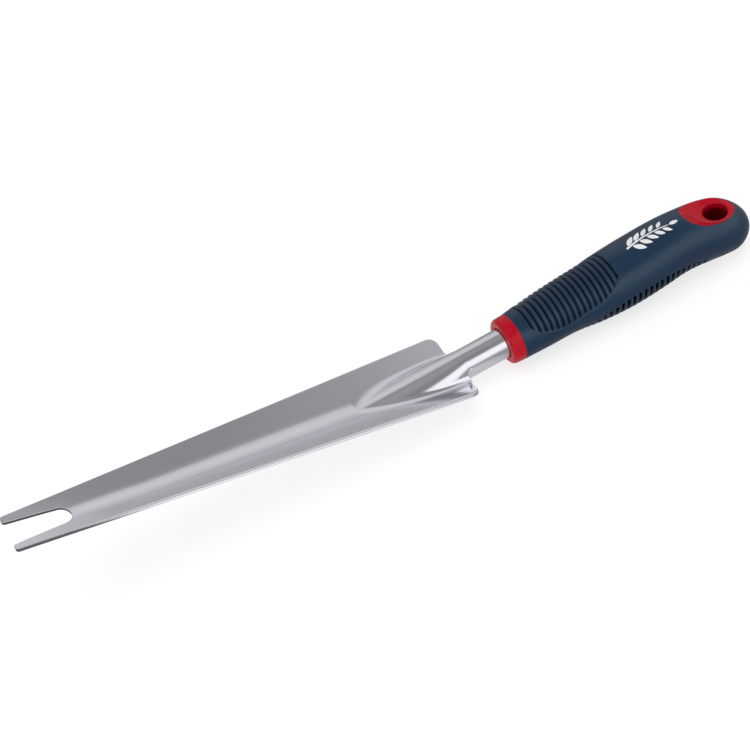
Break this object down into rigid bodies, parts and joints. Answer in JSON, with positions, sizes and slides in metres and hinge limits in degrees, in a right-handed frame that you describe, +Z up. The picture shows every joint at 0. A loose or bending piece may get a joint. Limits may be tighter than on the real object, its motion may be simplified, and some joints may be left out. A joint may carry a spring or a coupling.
{
  "type": "hand weeder",
  "caption": "Hand weeder: tapered trough blade with a forked tip and rolled neck, in a straight two-colour soft grip handle with a hanging hole.",
  "frame": {"origin": "where the axis of the hanging hole crosses the axis of the neck tube", "axes": "+X along the neck and handle, from the forked tip to the hanging end; +Z up along the hanging hole, on the side of the thumb pad and the blade's hollow face; +Y to the side"},
  "size_m": [0.359, 0.0406, 0.0553],
  "materials": {
    "blade_steel": "fine polished stainless sheet",
    "core_plastic": "gloss red moulding",
    "grip_rubber": "satin navy soft grip",
    "pin_steel": "plain drawn wire",
    "plug_plastic": "plain black moulding"
  },
  "bodies": {
    "root": {"blade": "blade_steel", "handle_core": "core_plastic", "grip_sleeve": "grip_rubber", "neck_plug": "plug_plastic", "retaining_pin": "pin_steel"}
  },
  "joints": []
}
